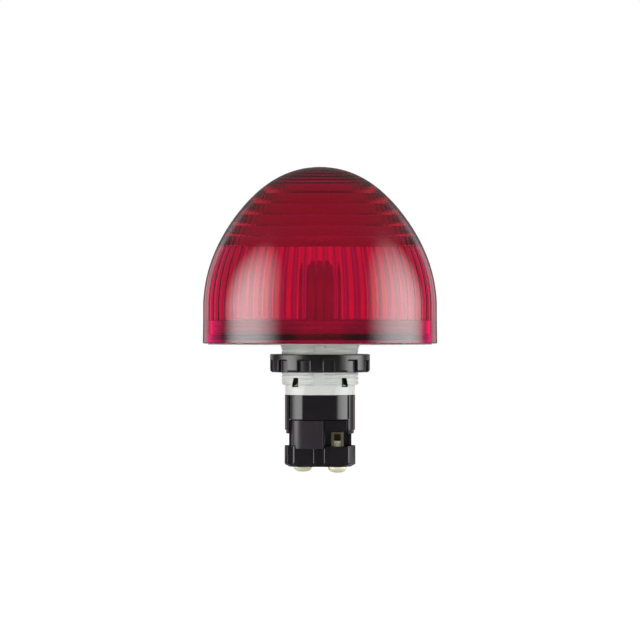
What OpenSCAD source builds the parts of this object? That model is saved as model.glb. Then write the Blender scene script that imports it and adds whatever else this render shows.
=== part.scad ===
// Panel pilot light: a jumbo red dome on a 22 mm panel-mount body, with a
// bayonet lamp inside and a two-terminal block behind the panel.
// Millimetres. +Z runs along the lamp axis out of the panel, -Y is the front,
// and z = 0 is the panel seat under the gasket.

/* [Dome] */
// Diameter over the skirt of the dome
dome_d = 66; // [60:0.5:72]
// Height of the crown above the panel seat
dome_top = 50; // [47:0.5:53]
// Top of the straight skirt, where the curve starts
skirt_top = 6.3; // [5.8:0.1:7]
// Wall thickness of the dome
dome_wall = 2.1; // [1.8:0.1:2.6]
// Number of vertical flutes moulded inside
flutes = 60; // [40:1:72]
// Width of the land between two flutes
land_w = 1.0; // [0.7:0.1:1.3]
// Height of the land over the wall
land_h = 0.6; // [0.4:0.1:0.8]

/* [Base and sleeve] */
// Diameter of the gasket under the dome
gasket_d = 63; // [58:0.5:64]
// Diameter over the threads of the sleeve
sleeve_d = 21.6; // [21:0.1:22]
// Bore of the sleeve
bore_d = 15.8; // [15:0.1:16.2]
// Length of the threaded part below the seat
thread_len = 11.1; // [9:0.1:11.6]
// Lower end of the sleeve below the seat
sleeve_len = 14.1; // [13.6:0.1:14.6]
// Width of the keyway down the front of the thread
key_w = 2.9; // [2:0.1:3.4]

/* [Lock ring] */
// Radial width of the lock ring
ring_wall = 3.15; // [2.8:0.05:3.6]
// Height of the lock ring
ring_h = 5.1; // [4:0.1:6]
// Top of the lock ring below the seat
ring_top = 2.7; // [1.5:0.1:4]
// Number of grip notches round the ring
notches = 12; // [8:1:16]
// Angle that a notch takes up
notch_deg = 14.5; // [10:0.5:16]

/* [Terminal block] */
// Diameter over the round latch collar
collar_d = 19.8; // [19.2:0.1:20.2]
// Width over the side columns of the terminal block
block_w = 19.9; // [19.6:0.1:20.4]
// Distance between the terminal screws, across the block
screw_pitch = 9.6; // [9.4:0.1:9.8]
// Diameter of the terminal screw head
head_d = 5.2; // [4.6:0.1:5.4]
// Height of the terminal screw head
head_h = 1.7; // [1.4:0.1:2]

/* [Lamp] */
// Diameter of the lamp cap
cap_d = 9.2; // [9:0.05:9.3]
// Diameter of the clear envelope
envelope_d = 10; // [9.4:0.1:10.4]
// Top of the envelope above the seat
lamp_top = 23.3; // [20:0.1:26]

/* [Hidden] */
$fn = 22;
wide_fn = 34;
slack = 0.1;
dome_r = dome_d / 2;
sleeve_r = sleeve_d / 2;
bore_r = bore_d / 2;
collar_r = collar_d / 2;
// the dome's rim, and the curve's own two half axes
rim_z = 0.3;
curve_r = dome_r - 0.15;
curve_h = dome_top - skirt_top;
// levels of the base
flange_z = 0.8;
groove_z = 1.3;
seal_top = 2.9;
base_top = 3.0;
thread_top = 6.6;
seal_r = dome_r - 2.2;
rim_r = seal_r - 0.8;
neck_r = sleeve_r + 0.25;
gasket_in = neck_r + 0.9;
ring_in = sleeve_r + slack;
ring_out = ring_in + ring_wall;
notch_deep = 0.32 * ring_wall;
// levels of the stepped rings inside the dome
ring_z = [26.8, 29.6, 32.4, 35.5, 38.6, 41.5, 44.2];
// heights stacked down the terminal block: lintel, wire cavity and foot
lintel_h = 3.3;
cavity_h = 4.2;
foot_h = 5.8;
arm_h = 3;
toe_h = 1;
// levels of the terminal block, measured down from the seat
collar_bot = -21;
waist_top = collar_bot - 0.2;
arm_bot = collar_bot - arm_h;
toe_bot = arm_bot - toe_h;
cavity_top = collar_bot - lintel_h;
cavity_bot = cavity_top - cavity_h;
step_z = cavity_bot + slack;
waist_bot = step_z - 0.5;
guard_bot = step_z - 0.8;
block_bot = cavity_bot - foot_h;
well_bot = block_bot + 1;
// terminals: where the screw stands, and what slides on it
term_x = screw_pitch / 2 + 0.05;
term_y = -4.0;
cage_w = 3.4;
cage_wall = 0.75;
cage_l = 4.8;
cage_top = cavity_top - 0.2;
cage_bot = well_bot + 1.9;
tab_top = cage_top - 2.45;
tab_t = 0.8;
shank_r = 1.2;
// lamp and socket
socket_z = -6;
tip_z = -4.7;
cap_top = 6;
bridge_z = -11.5;
bridge_t = 0.6;

// radius of the crown's curve at an angle up from the skirt, and at a level
function swell(a) = curve_r * cos(a) * (1 + 0.016 * sin(5 * a));
function curve_at(z) = swell(asin((z - skirt_top) / curve_h));
function wall_at(z) = curve_at(z) - dome_wall;

// ---- dome ----

// Crown and skirt outside, flutes and stepped rings inside.
module dome_outline() {
  steps = 18;
  outer = [for (i = [0:steps - 1]) let (a = 90 * i / steps)
           [swell(a), skirt_top + curve_h * sin(a)]];
  top_in = [[0, dome_top - 2.6], [8, dome_top - 3.2], [14.5, ring_z[6] + 0.6]];
  inner = [for (i = [6:-1:1]) each [[wall_at(ring_z[i]) - 0.3, ring_z[i]],
                                    [wall_at(ring_z[i]), ring_z[i - 1]]]];
  low = [for (i = [5:-1:0]) let (z = thread_top + 0.1 + (ring_z[0] - thread_top - 0.1) * i / 5)
         [wall_at(z) - 0.1, z]];
  polygon(concat([[dome_r, rim_z]], outer, [[0, dome_top]], top_in, inner, low,
                 [[dome_r - dome_wall - 0.4, thread_top + 0.1],
                  [dome_r - dome_wall - 0.4, seal_top + 0.1],
                  [dome_r - 2, seal_top + 0.1], [dome_r - 2, rim_z]]));
}

// One thin land between two flutes, from the skirt to the first ledge.
module dome_land() {
  foot = thread_top + 0.8;
  high = ring_z[0] - foot;
  pts = [for (i = [0:2]) let (z = foot + high * i / 2) [wall_at(z) + land_h, z]];
  back = [for (i = [2:-1:0]) let (z = foot + high * i / 2) [wall_at(z) - 0.1 - land_h, z]];
  rotate([90, 0, 0]) linear_extrude(height = land_w, center = true)
    polygon(concat(pts, back));
}

module dome_lens() color([0.72, 0.03, 0.12, 0.7]) {
  rotate_extrude($fn = wide_fn) dome_outline();
  for (i = [0:flutes - 1]) rotate([0, 0, (i + 0.5) * 360 / flutes]) dome_land();
}

module dome_seal() color([0.05, 0.05, 0.05])
  rotate_extrude($fn = wide_fn) polygon([[seal_r - 1.9, groove_z], [seal_r, groove_z],
                            [seal_r, seal_top], [seal_r - 1.9, seal_top]]);

// ---- base, sleeve and lock ring ----

module housing_outline()
  polygon([[bore_r, -sleeve_len], [sleeve_r - 1.05, -sleeve_len],
           [sleeve_r - 1.05, -thread_len - 0.4], [sleeve_r, -thread_len],
           [sleeve_r, -flange_z], [neck_r, -flange_z], [neck_r, flange_z],
           [seal_r, flange_z], [seal_r, groove_z], [seal_r - 1.9, groove_z],
           [seal_r - 1.9, seal_top], [rim_r, seal_top],
           [rim_r, thread_top], [seal_r - 2.7, thread_top],
           [seal_r - 2.7, base_top], [bore_r, base_top]]);

// A latch window seen from the front: its outer side leans outwards.
module latch_window()
  polygon([[6.1, -9.3], [7.4, -9.3], [7.9, -11.9], [6.1, -11.9]]);

// Windows at all four diagonals, for the hooks of the latch collar.
module latch_windows()
  for (side = [0, 1]) mirror([side, 0, 0])
    translate([0, 12, 0]) rotate([90, 0, 0]) linear_extrude(height = 24)
      latch_window();

module threaded_housing() color([0.87, 0.88, 0.85]) difference() {
  rotate_extrude($fn = wide_fn) housing_outline();
  latch_windows();
  // keyway down the front
  translate([-0.3 - key_w / 2, -sleeve_r - 0.5, -thread_len - 0.6])
    cube([key_w, 1.15, thread_len + 0.1]);
  // flat panel at the foot of the sleeve
  translate([-4.4, -sleeve_r - 0.5, -sleeve_len - 1])
    cube([8.8, sleeve_r + 0.5 - 8.85, 1 + sleeve_len - thread_len - 0.3]);
}

module panel_gasket() color([0.78, 0.8, 0.78])
  rotate_extrude($fn = wide_fn) polygon([[gasket_in, 0], [gasket_d / 2, 0], [gasket_d / 2, rim_z],
                            [seal_r, rim_z], [seal_r, flange_z],
                            [gasket_in, flange_z]]);

module lock_ring() color([0.16, 0.15, 0.16]) difference() {
  rotate_extrude() polygon([[ring_in, -ring_top], [ring_out, -ring_top],
                            [ring_out, -ring_top - ring_h + 0.5],
                            [ring_out - 0.5, -ring_top - ring_h],
                            [ring_in, -ring_top - ring_h]]);
  for (i = [0:notches - 1])
    rotate([0, 0, -90 + 11 - notch_deg / 2 + i * 360 / notches])
      translate([0, 0, -ring_top - ring_h - 1])
        rotate_extrude(angle = notch_deg) translate([ring_out - notch_deep, 0])
          square([notch_deep + 2, ring_h - 0.65]);
}

// ---- latch collar and terminal block ----

// What lies left or right of two upright planes, for cutting side arms.
module sides(left, right, z0, z1) {
  translate([-20, -20, z0]) cube([20 - left, 40, z1 - z0]);
  translate([right, -20, z0]) cube([20 - right, 40, z1 - z0]);
}

// Round collar with a flat front, side arms that reach down over the
// terminal base, and a spigot whose hooks snap into the sleeve.
module latch_collar() color([0.2, 0.19, 0.2]) {
  difference() {
    translate([0, 0, collar_bot]) cylinder(r = collar_r, h = -sleeve_len - collar_bot);
    translate([0, 0, collar_bot - 1]) cylinder(r = 6.9, h = 20);
    for (s = [0, 180]) rotate([0, 0, s])
      translate([-4.9, -20, collar_bot - 1]) cube([9.7, 20 - 8.6, 20]);
    for (x = [-8.75, 7.75], y = [-10, 3]) translate([x, y, collar_bot - 1])
      cube([0.35, 7, 20]);
  }
  intersection() {
    difference() {
      translate([0, 0, arm_bot]) cylinder(r = collar_r, h = collar_bot - arm_bot + 0.2);
      translate([-8.7, -20, arm_bot - 1]) cube([16.6, 40, 20]);
    }
    sides(8.7, 7.9, arm_bot - 1, collar_bot + 1);
  }
  intersection() {
    translate([0, 0, toe_bot]) cylinder(r = collar_r - 0.35, h = toe_h + 0.2);
    sides(8.7, 7.9, toe_bot - 1, arm_bot + 0.3);
  }
  difference() {
    translate([0, 0, -sleeve_len - 0.5]) cylinder(r = bore_r - slack, h = 5.6);
    translate([0, 0, -sleeve_len - 1]) cylinder(r = 6.9, h = 7);
  }
  intersection() {
    difference() {
      translate([0, 0, -11.75]) cylinder(r = 9.5, h = 2.3);
      translate([0, 0, -12]) cylinder(r = 7.2, h = 3);
    }
    for (side = [0, 1]) mirror([side, 0, 0])
      translate([6.25, -12, -12]) cube([1.1, 24, 4]);
  }
}

// One half of the terminal base seen from above: the front, with its
// left hump, slot, right hump and chamfered side column.
module base_front()
  polygon([[-block_w / 2, 0], [-block_w / 2, -3.3], [-9.1, -4.9], [-7.6, -4.9],
           [-7.6, -6.6], [-7.2, -7], [-1.9, -7], [-1.5, -6.6], [-1.5, -5.8],
           [0.9, -5.8], [0.9, -6.6], [1.3, -7], [7.9, -7], [8.3, -6.4],
           [9.9, -3.7], [block_w / 2, -3.3], [block_w / 2, 0]]);

module both_ends() {
  children();
  rotate([0, 0, 180]) children();
}

// The pocket of one terminal: its open cavity, the well of the cage, the
// way up for the plate and the hole for the screw.
module terminal_pocket() {
  translate([1.4, -12, cavity_bot]) cube([6.5, 12 - 1.1, cavity_top - cavity_bot]);
  translate([term_x - cage_w / 2 - slack, term_y - cage_l / 2 - 0.2, well_bot])
    cube([cage_w + 2 * slack, cage_l + 0.4, cavity_top - well_bot - 3]);
  translate([term_x - 1.15, -1.65, cavity_bot + 0.3])
    cube([2.3, 0.9, waist_top - cavity_bot + 1]);
  translate([term_x, term_y, block_bot - 1]) cylinder(r = shank_r + 0.2, h = 4);
}

module terminal_base() color([0.1, 0.09, 0.1]) difference() {
  union() {
    // waist between the arms
    translate([-7.9, -5, waist_bot]) cube([15.6, 10, waist_top - waist_bot]);
    translate([-8.7, -3.4, waist_bot]) cube([16.6, 6.8, waist_top - waist_bot]);
    translate([-8.5, -3.4, waist_bot]) cube([17.35, 6.8, toe_bot - waist_bot]);
    // block over the left of the cavity, and the lintel over the cavity
    both_ends() {
      translate([1.1, -6.9, cavity_top]) cube([6.5, 4, waist_top - cavity_top]);
      translate([0.9, -6.6, waist_bot]) cube([0.5, 3, waist_top - waist_bot]);
      translate([7.4, -6.2, waist_bot]) cube([0.5, 3, toe_bot - waist_bot]);
    }
    // lower block with its bottom chamfer
    translate([0, 0, block_bot + 1]) linear_extrude(height = step_z - block_bot - 1)
      both_ends() base_front();
    translate([0, 0, block_bot]) intersection() {
      linear_extrude(height = 1.2) both_ends() base_front();
      translate([0, 0, -0.05]) cylinder(r1 = 8.7, r2 = 10.9, h = 1.25);
      translate([-30, -6.3, -1]) cube([60, 12.6, 3]);
    }
  }
  both_ends() terminal_pocket();
}

// Smooth insulating guard over the blind side of the block.
module finger_guard()
  color([0.18, 0.16, 0.18]) difference() {
    translate([0, 0, guard_bot]) linear_extrude(height = waist_top - guard_bot) difference() {
      union() {
        translate([-4.7, -4.7]) circle(r = 3.2);
        translate([-4.7, -7.9]) square([5.6, 6]);
        translate([-7.9, -4.7]) square([5, 1]);
      }
      translate([-8.5, -5.05]) square([12, 4]);
    }
    translate([-9, -7.05, guard_bot - 1]) cube([12, 5, step_z - guard_bot + 1.05]);
  }

module finger_guard_front() finger_guard();
module finger_guard_rear() rotate([0, 0, 180]) finger_guard();

// ---- terminals ----

// Brass cage: a threaded floor under the wire opening.
module cage() color([0.72, 0.6, 0.3]) difference() {
  translate([term_x - cage_w / 2, term_y - cage_l / 2, cage_bot])
    cube([cage_w, cage_l, cage_top - cage_bot]);
  translate([term_x - cage_w / 2 + cage_wall, -20, cage_bot + 1.8])
    cube([cage_w - 2 * cage_wall, 30, cage_top - cage_bot - 2.4]);
  translate([term_x, term_y, cage_bot - 1]) cylinder(r = shank_r + 0.05, h = 6.6);
}

// Pan head below the block, shank up to the plate.
module screw() color([0.82, 0.8, 0.58]) difference() {
  translate([term_x, term_y, 0]) rotate_extrude()
    polygon([[0, tab_top - tab_t], [shank_r, tab_top - tab_t], [shank_r, block_bot],
             [head_d / 2, block_bot], [head_d / 2, block_bot - 0.5],
             [head_d / 2 - 0.35, block_bot - 1.1], [head_d / 2 - 0.95, block_bot - 1.5],
             [0, block_bot - head_h]]);
  for (a = [20, 110]) translate([term_x, term_y, block_bot - head_h - 0.5])
    rotate([0, 0, a]) translate([-1.35, -0.28, 0]) cube([2.7, 0.56, 1.4]);
}

// Tab in the cage and the strip that climbs from it into the collar.
module plate_strip(top) {
  translate([term_x - 0.9, -6.3, tab_top - tab_t]) cube([1.8, 5.5, tab_t]);
  translate([term_x - 1, -1.4, tab_top - tab_t]) cube([2, 0.6, top - tab_top + tab_t]);
}

// The front plate carries the shell of the socket, the rear one the bridge
// under the contact spring.
module terminal_plate_front() color([0.8, 0.68, 0.36]) plate_strip(socket_z);
module terminal_plate_rear() color([0.8, 0.68, 0.36]) {
  rotate([0, 0, 180]) plate_strip(bridge_z + bridge_t);
  translate([-term_x - 1, 0.8 - 2, bridge_z]) cube([term_x + 2.6, 2.6, bridge_t]);
}

module clamp_cage_front() cage();
module clamp_cage_rear() rotate([0, 0, 180]) cage();
module clamp_screw_front() screw();
module clamp_screw_rear() rotate([0, 0, 180]) screw();

// ---- socket ----

module socket_body() color([0.12, 0.12, 0.13]) difference() {
  rotate_extrude() polygon([[2.1, bridge_z + bridge_t], [2.1, socket_z], [5.2, socket_z],
                            [5.2, -2], [5.75, -2], [5.75, 4.2], [9.4, 4.2],
                            [9.4, base_top], [6.8, base_top], [6.8, -13], [2.1, -13]]);
  // the bridge lies in a slot across the foot
  translate([-term_x - 1.15, -1.35, -14]) cube([term_x + 3, 2.9, 14 + bridge_z + bridge_t]);
  // ways up for the strips of the two plates
  translate([term_x - 1.15, -1.55, -14]) cube([2.3, 0.9, 14 + socket_z]);
  rotate([0, 0, 180]) translate([term_x - 1.15, -1.55, -14]) cube([2.3, 0.9, 3.2]);
}

// Bayonet shell with two slots open at the top.
module socket_shell() color([0.75, 0.7, 0.5]) difference() {
  rotate_extrude() polygon([[4.7, socket_z], [5.15, socket_z], [5.15, 5.8], [4.7, 5.8]]);
  translate([-8, -1.2, -1.1]) cube([16, 2.4, 10]);
}

module centre_contact() color([0.8, 0.68, 0.36])
  rotate_extrude() polygon([[0, -8.5], [0.8, -8.5], [0.8, -5.9], [1.9, -5.9],
                            [1.9, tip_z], [0, tip_z]]);

// Coil of half turns, each tilted to meet the next at half the pitch.
module contact_spring() color([0.7, 0.7, 0.72]) {
  wire_r = 0.22;
  coil_r = 1.5;
  half_turns = 5;
  foot = bridge_z + bridge_t + wire_r;
  rise = (-5.9 - wire_r - foot) / half_turns;
  tilt = atan(rise / 2 / coil_r);
  for (i = [0:half_turns - 1])
    translate([0, 0, foot + (i + 0.5) * rise]) rotate([0, 0, i * 180])
      rotate([0, tilt, 0]) rotate_extrude(angle = 180, $fn = 14)
        translate([coil_r / cos(tilt), 0]) circle(r = wire_r, $fn = 13);
  for (i = [0:half_turns])
    translate([i % 2 == 0 ? coil_r : -coil_r, 0, foot + i * rise])
      sphere(r = wire_r + 0.01, $fn = 13);
}

// ---- lamp ----

// Cap with its two bayonet pins.
module lamp_cap() color([0.8, 0.8, 0.78]) {
  rotate_extrude() polygon([[3.2, -3.7], [cap_d / 2 - 0.3, -3.7], [cap_d / 2, -3.3],
                            [cap_d / 2, cap_top], [4.0, cap_top], [4.0, -3.1],
                            [3.2, -3.1]]);
  for (s = [0, 180]) rotate([0, 90, s]) translate([0, 0, 4.05]) cylinder(r = 1, h = 1.45);
}

module lamp_insulator() color([0.1, 0.1, 0.1])
  rotate_extrude() polygon([[1.3, -4.4], [2.4, -4.3], [3.2, -3.7], [3.2, -3.1], [1.3, -3.1]]);

module lamp_tip() color([0.75, 0.75, 0.72])
  rotate_extrude() polygon([[0, tip_z], [1.1, tip_z], [1.3, -4.4], [1.3, -3.1], [0, -3.1]]);

module lamp_envelope() color([0.95, 0.95, 0.95, 0.4])
  rotate_extrude() {
    difference() {
      union() {
        translate([0, cap_top]) square([envelope_d / 2, lamp_top - cap_top - envelope_d / 2]);
        intersection() {
          translate([0, lamp_top - envelope_d / 2]) circle(r = envelope_d / 2);
          translate([0, 0]) square([10, 30]);
        }
      }
      translate([0, cap_top - 1])
        square([envelope_d / 2 - 0.7, lamp_top - cap_top - envelope_d / 2 + 1]);
      translate([0, lamp_top - envelope_d / 2]) circle(r = envelope_d / 2 - 0.7);
    }
  }

// Circuit board of the lamp, standing in the cap.
module led_board() color([0.1, 0.25, 0.12]) {
  translate([-3.9, -0.4, -3.1]) cube([7.8, 0.8, 9]);
  translate([-3.3, -0.4, 5.5]) cube([6.6, 0.8, 13.5]);
}

// Light-emitting chips on both faces of the board.
module led_chips() color([0.95, 0.9, 0.6])
  for (side = [0, 1], z = [9, 12.5, 16]) mirror([0, side, 0])
    translate([-1.6, 0.4, z]) cube([3.2, 0.8, 2.6]);

dome_lens();
dome_seal();
threaded_housing();
panel_gasket();
lock_ring();
latch_collar();
terminal_base();
finger_guard_front();
finger_guard_rear();
terminal_plate_front();
terminal_plate_rear();
clamp_cage_front();
clamp_cage_rear();
clamp_screw_front();
clamp_screw_rear();
socket_body();
socket_shell();
centre_contact();
contact_spring();
lamp_cap();
lamp_insulator();
lamp_tip();
lamp_envelope();
led_board();
led_chips();
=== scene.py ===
"""Looks of the panel pilot light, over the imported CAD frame.

The scene is in metres. The object's sizes are written in millimetres and multiplied by MM, and the stage's
are in metres. -Y is the front, +Z the top, and z = 0 is the panel seat under the gasket.
"""
import math

import bpy
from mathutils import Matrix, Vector


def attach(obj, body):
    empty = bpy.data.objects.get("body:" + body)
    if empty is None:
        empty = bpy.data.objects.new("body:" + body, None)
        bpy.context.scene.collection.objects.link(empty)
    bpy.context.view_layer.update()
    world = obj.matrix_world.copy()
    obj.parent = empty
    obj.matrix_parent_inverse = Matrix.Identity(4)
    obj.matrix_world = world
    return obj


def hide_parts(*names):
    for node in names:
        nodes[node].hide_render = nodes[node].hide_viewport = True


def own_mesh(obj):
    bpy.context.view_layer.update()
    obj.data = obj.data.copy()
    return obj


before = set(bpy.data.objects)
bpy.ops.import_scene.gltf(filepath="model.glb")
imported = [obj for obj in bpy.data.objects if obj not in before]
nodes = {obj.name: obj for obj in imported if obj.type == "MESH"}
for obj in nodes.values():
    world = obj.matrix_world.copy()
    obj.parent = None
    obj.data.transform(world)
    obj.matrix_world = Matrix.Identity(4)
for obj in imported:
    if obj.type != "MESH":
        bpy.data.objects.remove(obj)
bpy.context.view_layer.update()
MM = 0.001

# ---------------------------------------------------------------- helpers


def clear():
    """Nothing selected, so that an operator acts only on what comes next."""
    bpy.ops.object.select_all(action="DESELECT")


def pick(obj, test):
    """Selects the vertices of obj whose place passes test, in edit mode."""
    if bpy.context.mode != "OBJECT":
        bpy.ops.object.mode_set(mode="OBJECT")
    mesh = obj.data
    for group in (mesh.vertices, mesh.edges, mesh.polygons):
        for item in group:
            item.select = False
    for v in mesh.vertices:
        v.select = test(v.co)
    bpy.ops.object.mode_set(mode="EDIT")
    bpy.ops.mesh.select_mode(type="VERT")


def turned(name, profile, segments):
    """A ring extruded along a profile of (radius, height) in mm, and closed where the radius is 0."""
    clear()
    pole = 0.01  # a pole's ring has this radius until its vertices are merged
    r0, z0 = max(profile[0][0], pole), profile[0][1]
    bpy.ops.mesh.primitive_circle_add(vertices=segments, radius=r0 * MM, location=(0, 0, z0 * MM))
    obj = bpy.context.object
    obj.name = name
    bpy.ops.object.transform_apply(location=True)
    bpy.ops.object.mode_set(mode="EDIT")
    bpy.ops.mesh.select_all(action="SELECT")
    for r, z in profile[1:]:
        r = max(r, pole)
        bpy.ops.mesh.extrude_region_move(TRANSFORM_OT_translate={"value": (0, 0, (z - z0) * MM)})
        bpy.ops.transform.resize(value=(r / r0, r / r0, 1), center_override=(0, 0, z * MM))
        r0, z0 = r, z
    bpy.ops.mesh.select_all(action="SELECT")
    bpy.ops.mesh.remove_doubles(threshold=0.03 * MM)
    bpy.ops.mesh.normals_make_consistent(inside=False)
    bpy.ops.object.mode_set(mode="OBJECT")
    return obj


def smooth(obj, degrees=35):
    """Smooth shading, apart from edges whose faces meet at more than an angle."""
    clear()
    obj.select_set(True)
    bpy.context.view_layer.objects.active = obj
    bpy.ops.object.shade_smooth_by_angle(angle=math.radians(degrees))


def apply(obj, kind, **settings):
    """Adds one modifier and applies it."""
    clear()
    obj.select_set(True)
    bpy.context.view_layer.objects.active = obj
    mod = obj.modifiers.new("m", kind)
    for key, value in settings.items():
        setattr(mod, key, value)
    bpy.ops.object.modifier_apply(modifier=mod.name)


# ---------------------------------------------------------------- materials

BROAD = 9.0  # size in mm of the slow change of tone and gloss over a surface


def linear(code):
    """An sRGB hex colour as linear RGBA."""
    out = []
    for i in (0, 2, 4):
        c = int(code[i:i + 2], 16) / 255
        out.append(c / 12.92 if c <= 0.04045 else ((c + 0.055) / 1.055) ** 2.4)
    return (*out, 1)


def add(mat, kind, inputs, **settings):
    """One node, with its inputs set or linked by name or number."""
    node = mat.node_tree.nodes.new(kind)
    for key, value in settings.items():
        setattr(node, key, value)
    for key, value in inputs.items():
        if isinstance(value, bpy.types.NodeSocket):
            mat.node_tree.links.new(value, node.inputs[key])
        else:
            node.inputs[key].default_value = value
    return node


def empty(name):
    """A material with nothing but its output."""
    mat = bpy.data.materials.new(name)
    mat.use_nodes = True
    mat.node_tree.nodes.clear()
    return mat, add(mat, "ShaderNodeOutputMaterial", {})


def surface(name, dark, light, rough=(0.3, 0.45), metallic=0.0, grain=0.25, bump=0.1, edge=0.0, **fixed):
    """A procedural material: fine grain in colour, gloss and relief. grain and edge are sizes in mm."""
    mat, out = empty(name)
    tree = mat.node_tree
    bsdf = add(mat, "ShaderNodeBsdfPrincipled", {"Metallic": metallic, **fixed})
    tree.links.new(bsdf.outputs[0], out.inputs["Surface"])
    where = add(mat, "ShaderNodeTexCoord", {}).outputs["Object"]
    fine = add(mat, "ShaderNodeTexNoise", {"Vector": where, "Scale": 1000 / grain, "Detail": 3.0})
    broad = add(mat, "ShaderNodeTexNoise", {"Vector": where, "Scale": 1000 / BROAD, "Detail": 2.0})
    mixed = add(mat, "ShaderNodeMath", {0: fine.outputs[0], 1: broad.outputs[0], 2: broad.outputs[0]},
                operation="MULTIPLY_ADD")
    tone = add(mat, "ShaderNodeValToRGB", {"Fac": mixed.outputs[0]})
    for element, place, shade in zip(tone.color_ramp.elements, (0.5, 0.85), (dark, light)):
        element.position = place
        element.color = linear(shade)
    tree.links.new(tone.outputs[0], bsdf.inputs["Base Color"])
    gloss = add(mat, "ShaderNodeMapRange", {"Value": broad.outputs[0], "From Min": 0.3, "From Max": 0.7,
                                            "To Min": rough[0], "To Max": rough[1]})
    tree.links.new(gloss.outputs[0], bsdf.inputs["Roughness"])
    relief = add(mat, "ShaderNodeBump", {"Height": fine.outputs[0], "Strength": bump, "Distance": 0.02 * MM})
    if edge:
        round_edge = add(mat, "ShaderNodeBevel", {"Radius": edge * MM}, samples=4)
        tree.links.new(round_edge.outputs[0], relief.inputs["Normal"])
    tree.links.new(relief.outputs[0], bsdf.inputs["Normal"])
    return mat


def dyed_clear_plastic():
    """Clear plastic with its dye in the volume, so that thick places are deeper red.

    The dye takes out green first and blue next. By its numbers a thin wall of it over white is pink, so the
    deep red here also needs the stage at the end of this script. The plastic is glossy at the flutes and
    hazier from about the first ledge up.
    """
    gloss, haze = 0.02, 0.2
    haze_from, haze_to = 27.5, 30.0
    left_by_dye = (0.95, 0.0, 0.72, 1)  # linear, because it sets what the volume takes out of each colour
    mat, out = empty("clear_red_plastic")
    body = add(mat, "ShaderNodeBsdfPrincipled", {"Base Color": (1, 1, 1, 1), "Transmission Weight": 1.0,
                                                 "IOR": 1.53, "Roughness": gloss})
    dye = add(mat, "ShaderNodeVolumeAbsorption", {"Color": left_by_dye, "Density": 1400.0})
    where = add(mat, "ShaderNodeTexCoord", {}).outputs["Object"]
    height = add(mat, "ShaderNodeSeparateXYZ", {0: where}).outputs[2]
    frost = add(mat, "ShaderNodeMapRange", {"Value": height, "From Min": haze_from * MM,
                                            "From Max": haze_to * MM, "To Min": gloss, "To Max": haze})
    mat.node_tree.links.new(frost.outputs[0], body.inputs["Roughness"])
    mat.node_tree.links.new(body.outputs[0], out.inputs["Surface"])
    mat.node_tree.links.new(dye.outputs[0], out.inputs["Volume"])
    return mat


def hazy_cream_plastic():
    """The lamp's envelope, drawn as a hazy cream plastic, so the board and chips inside it don't show."""
    mat = bpy.data.materials.new("clear_lamp_plastic")
    mat.use_nodes = True
    body = mat.node_tree.nodes["Principled BSDF"]
    for socket, value in (("Transmission Weight", 0.3), ("IOR", 1.5), ("Roughness", 0.35),
                          ("Base Color", linear("f6e7c4"))):
        body.inputs[socket].default_value = value
    return mat


def painted_highlight_end(mat, tint, near, far):
    """Painted highlight: a pale end on a metal strip, coming in from near to far mm off the lamp's axis
    plane.
    """
    metal = mat.node_tree.nodes
    place = add(mat, "ShaderNodeSeparateXYZ", {0: metal["Texture Coordinate"].outputs["Object"]})
    reach = add(mat, "ShaderNodeMath", {0: place.outputs[1]}, operation="ABSOLUTE")
    share = add(mat, "ShaderNodeMapRange", {"Value": reach.outputs[0], "From Min": near * MM,
                                            "From Max": far * MM})
    highlit = add(mat, "ShaderNodeMix", {0: share.outputs[0], 6: metal["Color Ramp"].outputs[0],
                                      7: linear(tint)}, data_type="RGBA")
    mat.node_tree.links.new(highlit.outputs[2], metal["Principled BSDF"].inputs["Base Color"])


def dress(obj, mat):
    """Gives obj one material."""
    obj.data.materials.clear()
    obj.data.materials.append(mat)


dome_red = dyed_clear_plastic()
# Drawn as moulded polyamide: a pale warm grey with a soft sheen and hardly any texture.
light_grey = surface("light_grey_plastic", "dcded8", "e6e7e2", rough=(0.38, 0.5), grain=0.3, bump=0.08)
# Plastic from a polished mould: near black, with clear grey reflections on its curve.
black_ring = surface("black_ring_plastic", "0f0a0f", "171217", rough=(0.22, 0.3), grain=0.2, bump=0.15,
                     **{"Specular IOR Level": 0.45})
# Hard glossy plastic of the collar and block: flat faces stay black and round ones turn grey.
black_body = surface("black_body_plastic", "0a050a", "110b12", rough=(0.2, 0.26), grain=0.2, bump=0.15,
                     **{"Specular IOR Level": 0.42})
# Another plastic on the guards: a shade lighter than the block, and more matt.
black_guard = surface("black_guard_plastic", "1c161d", "241d25", rough=(0.36, 0.46), grain=0.2, bump=0.1)
# The socket is a plain, rather matt black.
black_socket = surface("black_socket_plastic", "17171a", "202022", rough=(0.4, 0.5))
# Moulded rubber with hardly any shine, a black line behind the dome's foot.
rubber_black = surface("black_rubber", "050505", "0a0a0a", rough=(0.85, 0.95), grain=0.4,
                       **{"Specular IOR Level": 0.05})
# Matt grey-green sheet rubber, as a thin pale line under the dome.
rubber_grey = surface("grey_rubber", "b9c2bb", "c6cec8", rough=(0.55, 0.7), grain=0.4)
# Brass strip, painted dark brown: painted shade for the dark hollow it sits in.
brass = surface("brass_painted_dark_for_shade", "4a3f28", "5c5034", rough=(0.3, 0.42), metallic=1.0, grain=0.5, edge=0.08)
# Plated brass gone greyish olive, with round edges that catch the light.
cage_metal = surface("plated_cage_brass", "77735e", "928e78", rough=(0.32, 0.44), metallic=1.0, grain=0.4,
                     edge=0.08)
# Yellow passivated zinc: pale straw, and closer to satin paint than to bare metal.
screw_metal = surface("yellow_passivated_steel", "e9e6c0", "f1eed0", rough=(0.45, 0.58), metallic=0.3,
                      grain=0.6, edge=0.1)
# Plated brass of the shell: a light, yellowish metal.
shell_metal = surface("plated_shell_brass", "b5ad86", "c8c09a", rough=(0.2, 0.32), metallic=1.0, grain=0.6)
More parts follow.
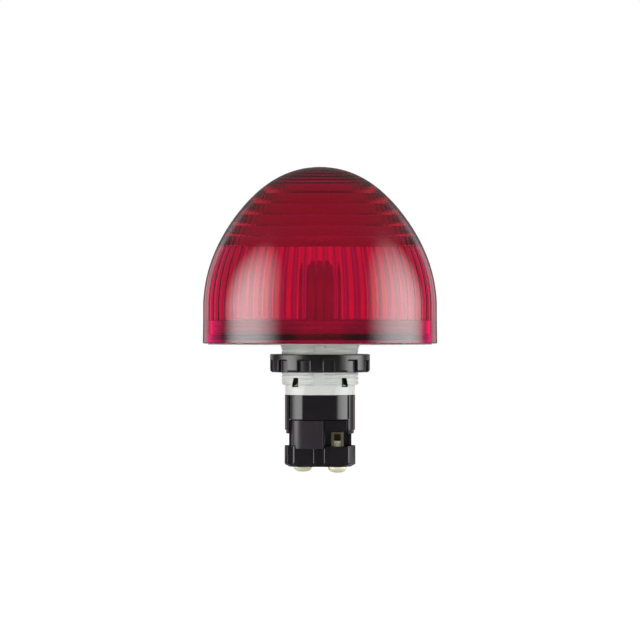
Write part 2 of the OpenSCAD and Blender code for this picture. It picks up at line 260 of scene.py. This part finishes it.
# Drawn spring wire: bright and neutral.
spring_wire = surface("bright_spring_wire", "a8a8a8", "bdbdbd", rough=(0.2, 0.3), metallic=1.0, grain=0.3)
# Nickel plate of the lamp's cap: the brightest metal, slightly warm.
nickel = surface("nickel_plate", "c2c2be", "d2d2ce", rough=(0.16, 0.26), metallic=1.0, grain=0.6)
# Black glass round the lamp's tip: dark and glossy.
insulator_black = surface("black_glass_plug", "0a0a0a", "141414", rough=(0.15, 0.25))
# Solder gone dull: a soft grey with an uneven skin.
solder = surface("dull_solder", "a5a5a2", "bcbcb8", rough=(0.4, 0.55), metallic=1.0, grain=0.6, bump=0.4)
# Green solder mask of the board.
board = surface("green_circuit_board", "0c2c16", "153c20", rough=(0.3, 0.4), grain=0.5)
# Yellow resin over the chips.
chips = surface("yellow_chip_resin", "c9b25a", "ddc878", rough=(0.2, 0.3), grain=0.5)
cream = hazy_cream_plastic()

# Painted highlight: the tab's end, at the wire clamp, is painted pale.
painted_highlight_end(brass, "e8e4c4", near=5.6, far=6.1)

for mat, names in (
    (rubber_black, ["dome_seal"]),
    (light_grey, ["threaded_housing"]),
    (rubber_grey, ["panel_gasket"]),
    (black_ring, ["lock_ring"]),
    (black_body, ["latch_collar", "terminal_base"]),
    (black_guard, ["finger_guard_front", "finger_guard_rear"]),
    (brass, ["terminal_plate_front", "terminal_plate_rear", "centre_contact"]),
    (cage_metal, ["clamp_cage_front", "clamp_cage_rear"]),
    (screw_metal, ["clamp_screw_front", "clamp_screw_rear"]),
    (black_socket, ["socket_body"]),
    (shell_metal, ["socket_shell"]),
    (spring_wire, ["contact_spring"]),
    (nickel, ["lamp_cap"]),
    (insulator_black, ["lamp_insulator"]),
    (solder, ["lamp_tip"]),
    (cream, ["lamp_envelope"]),
    (board, ["led_board"]),
    (chips, ["led_chips"]),
    (dome_red, ["dome_lens"]),
):
    for name in names:
        dress(nodes[name], mat)

# ---------------------------------------------------------------- dome

# Sizes in mm, as in the CAD: the skirt's top, the crown, the curve's and the skirt's radius, and the wall.
SKIRT, TOP, CURVE_R, SKIRT_R, WALL = 6.3, 50.0, 32.85, 32.9, 2.1
BULGE = 0.016  # how far the curve stands off an ellipse, as a share of its radius
LEDGES = [26.8, 29.6, 32.4, 35.5, 38.6, 41.5, 44.2]
FLUTE_FOOT, FLUTE_LOW, FLUTE_HIGH = 6.7, 6.74, 26.74
FLUTE_DEEP, RING_DEEP = 0.15, 0.08
FLUTES, STEPS = 60, 8  # flutes round the dome, and columns of the mesh to a flute


def swell(angle):
    """Radius of the crown's curve at an angle up from the skirt."""
    a = math.radians(angle)
    return min(SKIRT_R, CURVE_R * math.cos(a) * (1 + BULGE * math.sin(5 * a)))


def curve_at(z):
    """Radius of the outside at a height."""
    return swell(math.degrees(math.asin(min(1.0, max(0.0, (z - SKIRT) / (TOP - SKIRT))))))


def wall_at(z):
    """Radius of the inside at a height."""
    return curve_at(z) - WALL


def dome_outside():
    """From the crown down over the skirt, round the rim and up inside to the foot of the flutes."""
    angles = [88.5, 87] + [84 - 2.4 * i for i in range(36)]
    points = [(swell(a), SKIRT + (TOP - SKIRT) * math.sin(math.radians(a))) for a in angles]
    points[-1] = (SKIRT_R, SKIRT)
    rim = [(33.0, 0.5), (32.8, 0.3), (31.0, 0.3), (31.0, 2.95), (30.5, 3.0), (30.5, FLUTE_FOOT)]
    return [(0, TOP)] + points + rim


def dome_inside():
    """Up the flutes, over the ledges of the rings and in by small steps to the middle of the crown."""
    rows = [FLUTE_FOOT] + [FLUTE_LOW + 20 * i / 9 for i in range(10)] + [LEDGES[0]]
    points = [(wall_at(z) - 0.4, z) for z in rows]
    for low, high in zip(LEDGES[:-1], LEDGES[1:]):
        points += [(wall_at(high) - 0.1, low + 0.02),
                   (wall_at(high) - 0.2, (low + high) / 2),
                   (wall_at(high) - 0.4, high)]
    points += [(14.3, 44.7), (13.1, 44.9), (12.9, 45.4), (11.2, 45.6), (11.0, 46.0), (9.1, 46.2),
               (8.9, 46.55), (6.8, 46.7), (6.6, 47.0), (4.2, 47.1), (4.0, 47.35), (0, 47.4)]
    return points


def column(co):
    """Which of a flute's columns a vertex is in, from land to land."""
    turn = math.degrees(math.atan2(co.y, co.x)) - 180 / FLUTES
    return round(turn / (360 / FLUTES) * STEPS) % STEPS


def inside_wall(co):
    """Whether a vertex is on the inside of the dome and not on its outer curve."""
    return math.hypot(co.x, co.y) < (curve_at(co.z / MM) - 1.0) * MM


def sink_flutes(obj, depth, z0, z1):
    """Between two heights the wall stands back by depth, and the round-topped lands keep their place."""
    for share, columns in ((0.4, (1, STEPS - 1)), (1.0, range(2, STEPS - 1))):
        grow = 1 + share * depth / max(8.0, wall_at((z0 + z1) / 2))
        pick(obj, lambda co: column(co) in columns and z0 * MM < co.z < z1 * MM and inside_wall(co))
        bpy.ops.transform.resize(value=(grow, grow, 1), center_override=(0, 0, 0))


def mark_flute_ends(obj):
    """Sharp edges where the flutes start and stop."""
    pick(obj, lambda co: inside_wall(co)
         and min(abs(co.z / MM - FLUTE_LOW), abs(co.z / MM - FLUTE_HIGH)) < 0.02)
    bpy.ops.mesh.select_mode(type="EDGE")
    bpy.ops.mesh.mark_sharp()
    bpy.ops.object.mode_set(mode="OBJECT")


dome = turned("dome_moulding", dome_outside() + dome_inside(), FLUTES * STEPS)
sink_flutes(dome, FLUTE_DEEP, FLUTE_FOOT + 0.02, LEDGES[0] - 0.03)
for low, high in zip(LEDGES[:-1], LEDGES[1:]):
    sink_flutes(dome, RING_DEEP, low + 0.01, high - 0.01)
mark_flute_ends(dome)
smooth(dome, 40)
dress(dome, dome_red)
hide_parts("dome_lens")
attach(dome, "dome")

# ---------------------------------------------------------------- mouldings and threads


def helix(name, radius, deep, tall, z0, pitch, turns, steps=96):
    """A rhombus of half sizes deep and tall, standing at a radius and swept up along a helix; sizes in mm."""
    clear()
    centre = (radius * MM, 0, z0 * MM)
    bpy.ops.mesh.primitive_circle_add(vertices=4, radius=MM, location=centre, rotation=(math.pi / 2, 0, 0))
    obj = bpy.context.object
    obj.name = name
    bpy.ops.object.transform_apply(location=True, rotation=True)
    bpy.ops.object.mode_set(mode="EDIT")
    bpy.ops.mesh.select_all(action="SELECT")
    bpy.ops.transform.resize(value=(deep, 1, tall), center_override=centre)
    bpy.ops.object.mode_set(mode="OBJECT")
    apply(obj, "SCREW", axis="Z", angle=2 * math.pi, screw_offset=pitch * MM, iterations=turns, steps=steps,
          render_steps=steps)
    bpy.ops.object.mode_set(mode="EDIT")
    bpy.ops.mesh.select_mode(type="EDGE")
    bpy.ops.mesh.select_all(action="DESELECT")
    bpy.ops.mesh.select_non_manifold()
    bpy.ops.mesh.fill()
    bpy.ops.mesh.select_all(action="SELECT")
    bpy.ops.mesh.normals_make_consistent(inside=False)
    bpy.ops.object.mode_set(mode="OBJECT")
    return obj


def likeness(node, name, quads=False):
    """A merged copy of a CAD node's mesh: with its flat faces whole, or with quads round its curves."""
    clear()
    obj = nodes[node].copy()
    obj.data = nodes[node].data.copy()
    bpy.context.scene.collection.objects.link(obj)
    obj.name = name
    obj.select_set(True)
    bpy.context.view_layer.objects.active = obj
    bpy.ops.object.mode_set(mode="EDIT")
    bpy.ops.mesh.select_all(action="SELECT")
    bpy.ops.mesh.remove_doubles(threshold=0.002 * MM)
    if quads:
        bpy.ops.mesh.tris_convert_to_quads(face_threshold=math.radians(0.5), shape_threshold=math.pi)
    else:
        bpy.ops.mesh.dissolve_limited(angle_limit=math.radians(0.5))
    bpy.ops.mesh.normals_make_consistent(inside=False)
    bpy.ops.object.mode_set(mode="OBJECT")
    return obj


def moulded(node, name, radius, mat, body, degrees=35):
    """A CAD piece with its sharp edges rounded, as a mould leaves them; radius in mm."""
    obj = likeness(node, name)
    apply(obj, "BEVEL", width=radius * MM, segments=2, limit_method="ANGLE",
          angle_limit=math.radians(degrees), use_clamp_overlap=False, miter_outer="MITER_ARC")
    smooth(obj, degrees)
    apply(obj, "WEIGHTED_NORMAL", keep_sharp=True, weight=100)
    dress(obj, mat)
    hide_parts(node)
    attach(obj, body)


# The sleeve's thread is cut, and the coarse one for the dome stands up from the plate's rim.
housing = likeness("threaded_housing", "housing_moulding", quads=True)
groove = helix("groove", radius=10.95, deep=0.5, tall=0.45, z0=-12.4, pitch=1.13, turns=10)
apply(housing, "BOOLEAN", operation="DIFFERENCE", solver="EXACT", object=groove)
bpy.data.objects.remove(groove)
ridge = helix("ridge", radius=29.95, deep=0.45, tall=0.25, z0=3.4, pitch=1.2, turns=2, steps=129)
apply(housing, "BOOLEAN", operation="UNION", solver="EXACT", object=ridge)
bpy.data.objects.remove(ridge)
smooth(housing, 20)
apply(housing, "WEIGHTED_NORMAL", keep_sharp=True, weight=100)
dress(housing, light_grey)
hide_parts("threaded_housing")
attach(housing, "root")

moulded("lock_ring", "ring_moulding", 0.25, black_ring, "nut")
moulded("latch_collar", "collar_moulding", 0.12, black_body, "root")
moulded("terminal_base", "base_moulding", 0.12, black_body, "root")
moulded("finger_guard_front", "guard_front_moulding", 0.15, black_guard, "root")
moulded("finger_guard_rear", "guard_rear_moulding", 0.15, black_guard, "root")

# The real coil shortens down to its foot as the contact is pressed; here it is a smoothed copy, with a mesh
# of its own, that stays as modelled.
coil = likeness("contact_spring", "spring_coil", quads=True)
smooth(coil)
dress(coil, spring_wire)
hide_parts("contact_spring")
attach(coil, "root")
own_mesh(coil)

# ---------------------------------------------------------------- stage

# Only the camera sees the white ground. Clear plastic shows a dim, tinted room behind it, and gloss a dim
# grey one, so the dome is a deeper red here than it would be over a real white ground.
GROUND = "eeeeee"
GROUND_GLOW = 0.95  # with the lamps' light it makes the floor white, apart from the object's shadow
ROOM = 0.16  # strength of the world for gloss and for rough surfaces
THROUGH_GLOW = 0.36  # strength of the floor as clear plastic shows it
# What clear plastic shows: where its colour starts and stops turning, and that colour, linear, in the middle
# and at the sides. The floor's places are metres off the middle, and the world's are shares of a direction.
THROUGH_FLOOR = (0.04, 0.2, (0.95, 0.55, 0.28, 1), (1.2, 0.45, 0.7, 1))
THROUGH_WORLD = (0.2, 0.6, (0.42, 0.4, 0.2, 1), (0.55, 0.36, 0.38, 1))


def sideways(mat, where, near, far, middle, side):
    """A colour that turns from middle to side as the place moves off the object's plane of symmetry."""
    x = add(mat, "ShaderNodeSeparateXYZ", {0: where}).outputs[0]
    off = add(mat, "ShaderNodeMath", {0: x}, operation="ABSOLUTE")
    share = add(mat, "ShaderNodeMapRange", {"Value": off.outputs[0], "From Min": near, "From Max": far})
    return add(mat, "ShaderNodeMix", {0: share.outputs[0], 6: middle, 7: side}, data_type="RGBA").outputs[2]


def by_ray(mat, plain, through, camera):
    """One shader for rays through clear plastic, one for the camera's own, and a plain one for the rest."""
    path = add(mat, "ShaderNodeLightPath", {})
    inside = add(mat, "ShaderNodeMixShader", {0: path.outputs["Is Transmission Ray"], 1: plain.outputs[0],
                                              2: through.outputs[0]})
    return add(mat, "ShaderNodeMixShader", {0: path.outputs["Is Camera Ray"], 1: inside.outputs[0],
                                            2: camera.outputs[0]})


def pale_floor():
    """A pale diffuse floor that also glows for the camera, and only glows, dimly, through clear plastic."""
    mat, out = empty("pale_floor")
    plain = add(mat, "ShaderNodeBsdfDiffuse", {"Color": linear(GROUND)})
    shine = add(mat, "ShaderNodeEmission", {"Color": (1, 1, 1, 1), "Strength": GROUND_GLOW})
    both = add(mat, "ShaderNodeAddShader", {0: plain.outputs[0], 1: shine.outputs[0]})
    where = add(mat, "ShaderNodeTexCoord", {}).outputs["Object"]
    tint = sideways(mat, where, *THROUGH_FLOOR)
    through = add(mat, "ShaderNodeEmission", {"Strength": THROUGH_GLOW, "Color": tint})
    last = by_ray(mat, plain, through, both)
    mat.node_tree.links.new(last.outputs[0], out.inputs["Surface"])
    return mat


def fading_shine(name, size, strength, tint, edge):
    """An emission that fades to nothing from edge, as a share of the oval's radius, to its rim."""
    mat, end = empty(name)
    shine = add(mat, "ShaderNodeEmission", {"Color": linear(tint), "Strength": strength})
    where = add(mat, "ShaderNodeTexCoord", {}).outputs["Object"]
    flat = add(mat, "ShaderNodeVectorMath", {0: where, 1: (2 / size[0], 2 / size[1], 1)},
               operation="MULTIPLY")
    out = add(mat, "ShaderNodeVectorMath", {0: flat.outputs[0]}, operation="LENGTH")
    fade = add(mat, "ShaderNodeMapRange", {"Value": out.outputs["Value"], "From Min": edge,
                                           "From Max": 1.0}, interpolation_type="SMOOTHSTEP")
    nothing = add(mat, "ShaderNodeBsdfTransparent", {})
    both = add(mat, "ShaderNodeMixShader", {0: fade.outputs[0], 1: shine.outputs[0], 2: nothing.outputs[0]})
    mat.node_tree.links.new(both.outputs[0], end.inputs["Surface"])
    return mat


def face_object(obj, azimuth, distance, height):
    """Stands obj at an azimuth counted from the front, turned towards the object."""
    a = math.radians(azimuth)
    obj.location = (distance * math.sin(a), -distance * math.cos(a), height)
    obj.rotation_euler = (Vector((0, 0, height)) - obj.location).to_track_quat("-Z", "Y").to_euler()


def softbox(name, azimuth, distance, size, height, power):
    """The light of a softbox on rough surfaces."""
    lamp = bpy.data.lights.new(name, "AREA")
    lamp.shape = "RECTANGLE"
    lamp.size, lamp.size_y = size
    lamp.energy = power
    obj = bpy.data.objects.new(name, lamp)
    bpy.context.scene.collection.objects.link(obj)
    face_object(obj, azimuth, distance, height)
    obj.visible_glossy = obj.visible_transmission = False


def card(name, azimuth, distance, size, height, strength, tint, glossy=False, through=False, edge=0.6,
         roll=0):
    """An oval glowing card: a softbox that gloss reflects, or a backdrop that clear plastic shows."""
    clear()
    bpy.ops.mesh.primitive_circle_add(vertices=48, radius=0.5, fill_type="NGON")
    obj = bpy.context.object
    obj.name = name
    obj.scale = (size[0], size[1], 1)
    bpy.ops.object.transform_apply(location=False, rotation=False, scale=True)
    face_object(obj, azimuth, distance, height)
    obj.rotation_euler.rotate_axis("Z", math.radians(roll))
    dress(obj, fading_shine(name + "_face", size, strength, tint, edge))
    obj.visible_camera = obj.visible_diffuse = obj.visible_shadow = obj.visible_volume_scatter = False
    obj.visible_glossy, obj.visible_transmission = glossy, through


clear()
bpy.ops.mesh.primitive_plane_add(size=8, location=(0, 1.5, -0.12))
floor = bpy.context.object
floor.name = "floor"
dress(floor, pale_floor())

world = bpy.data.worlds.new("studio")
bpy.context.scene.world = world
world.use_nodes = True
world.node_tree.nodes.clear()
world_out = add(world, "ShaderNodeOutputWorld", {})
room = add(world, "ShaderNodeBackground", {"Color": (1, 1, 1, 1), "Strength": ROOM})
white = add(world, "ShaderNodeBackground", {"Color": (1, 1, 1, 1), "Strength": 1.0})
heading = add(world, "ShaderNodeTexCoord", {}).outputs["Generated"]
tinted = add(world, "ShaderNodeBackground", {
    "Strength": 1.0, "Color": sideways(world, heading, *THROUGH_WORLD)})
sky = by_ray(world, room, tinted, white)
world.node_tree.links.new(sky.outputs[0], world_out.inputs["Surface"])

# The softboxes light what is rough, and the cards near them are what gloss reflects.
softbox("softbox_left", azimuth=-72, distance=0.6, size=(0.6, 0.8), height=0.04, power=3.6)
softbox("softbox_right", azimuth=85, distance=0.6, size=(0.7, 0.8), height=0.04, power=3.9)
softbox("front_fill", azimuth=0, distance=1.5, size=(1.4, 0.25), height=0.0, power=7.0)
card("card_left", azimuth=-72, distance=0.62, size=(0.92, 1.36), height=0.0, strength=7.2, tint="ffffff",
     glossy=True, edge=0.1, roll=-14)
card("card_right", azimuth=84, distance=0.62, size=(1.04, 1.3), height=0.0, strength=6.6, tint="ffffff",
     glossy=True, edge=0.1, roll=14)
# Only clear plastic shows these two: one behind the dome, and one in front for what its inside turns back.
card("warm_card", azimuth=180, distance=0.3, size=(0.06, 0.08), height=0.02, strength=0.9, tint="ff9878",
     through=True, edge=0.3)
card("front_card", azimuth=0, distance=1.3, size=(1.5, 1.3), height=0.0, strength=2.2, tint="ffb090",
     through=True)
# A pair at the rear corners for gloss to show at its edges, and a wider pair that only clear plastic shows.
for side in (-1, 1):
    card("edge_card", azimuth=side * 150, distance=0.9, size=(0.34, 1.1), height=0.0, strength=0.7,
         tint="ffeef4", glossy=True)
    card("back_card", azimuth=side * 130, distance=0.95, size=(0.8, 1.6), height=0.0, strength=2.4,
         tint="ffc0ff", through=True, edge=0.2)

SENSOR = 36
CAMERA_OFF = 1.2
CAMERA_UP = 0.0069
SHOWN = 0.1802  # width of what the camera shows where the object stands
camera = bpy.data.cameras.new("camera")
camera.sensor_width = SENSOR
camera.lens = SENSOR * CAMERA_OFF / SHOWN
camera.clip_start = 0.05
cam = bpy.data.objects.new("camera", camera)
bpy.context.scene.collection.objects.link(cam)
cam.location = (0.0, -CAMERA_OFF, CAMERA_UP)
cam.rotation_euler = (math.radians(90), 0, 0)
bpy.context.scene.camera = cam
bpy.context.scene.view_settings.view_transform = "Standard"
